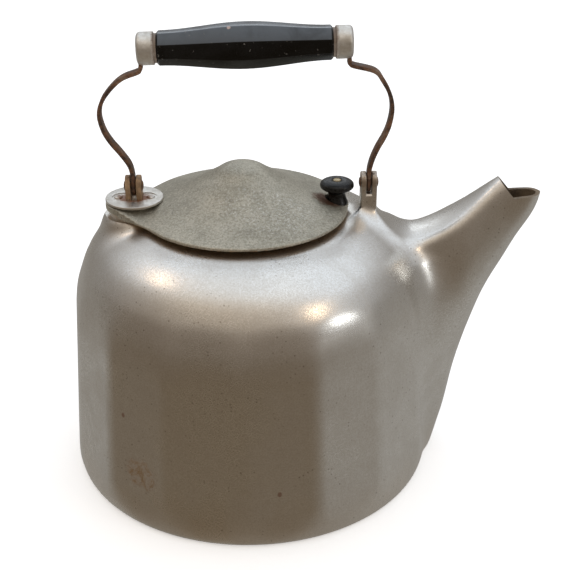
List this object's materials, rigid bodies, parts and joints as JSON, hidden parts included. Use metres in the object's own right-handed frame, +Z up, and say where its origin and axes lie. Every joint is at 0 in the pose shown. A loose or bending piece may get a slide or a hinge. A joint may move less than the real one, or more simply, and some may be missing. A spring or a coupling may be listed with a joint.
{
  "type": "stovetop tea kettle",
  "caption": "Cast aluminium stovetop tea kettle with panelled sides, a hooded spout, a lid that swivels on a rear pivot and a swinging bail handle with a black octagonal grip.",
  "frame": {"origin": "centre of the underside of the base, on the axis of the panelled body", "axes": "+Z up, +X towards the spout's tip, +Y towards the kettle's left side as seen from behind with the spout pointing away"},
  "size_m": [0.2949, 0.2334, 0.2815],
  "materials": {
    "cast_body": "worn, brushed cast aluminium with fine pits and warm stains",
    "stained_steel": "dull plated steel, rust stained in the slot",
    "clean_plate": "satin aluminium disc",
    "rivet_alloy": "soft aluminium rivets, polished by wear",
    "oxidised_lid": "dull grey-green oxidised cast aluminium, mottled and scratched",
    "knob_black": "moulded black phenolic plastic",
    "screw_steel": "yellowed plated steel",
    "rusty_strap": "flat steel strip, browned by rust",
    "ferrule_metal": "turned satin aluminium cap",
    "grip_black": "gloss black phenolic grip",
    "rod_steel": "steel rod, rusty at the peened ends",
    "pin_steel": "dark steel rivet with domed heads"
  },
  "bodies": {
    "kettle": {"body": "cast_body", "rear_ear": "stained_steel", "retaining_plate": "clean_plate", "plate_rivets": "rivet_alloy", "bail_pin_rear": "pin_steel", "bail_pin_front": "pin_steel"},
    "lid": {"lid": "oxidised_lid", "knob": "knob_black", "knob_screw": "screw_steel", "knob_washer": "screw_steel", "knob_nut": "screw_steel"},
    "bail": {"bail_strap_rear": "rusty_strap", "bail_strap_front": "rusty_strap", "ferrule_rear": "ferrule_metal", "ferrule_front": "ferrule_metal", "grip": "grip_black", "grip_rod": "rod_steel"}
  },
  "joints": [
    {"name": "bail_swing", "type": "hinge", "parent": "kettle", "child": "bail", "pos_m": [0, 0, 0.1841], "axis": [1, 0, 0], "range_deg": [-70, 70]},
    {"name": "lid_swivel", "type": "hinge", "parent": "kettle", "child": "lid", "pos_m": [-0.0688, 0, 0.1683], "axis": [0, 0, 1], "range_deg": [-110, 110]}
  ]
}
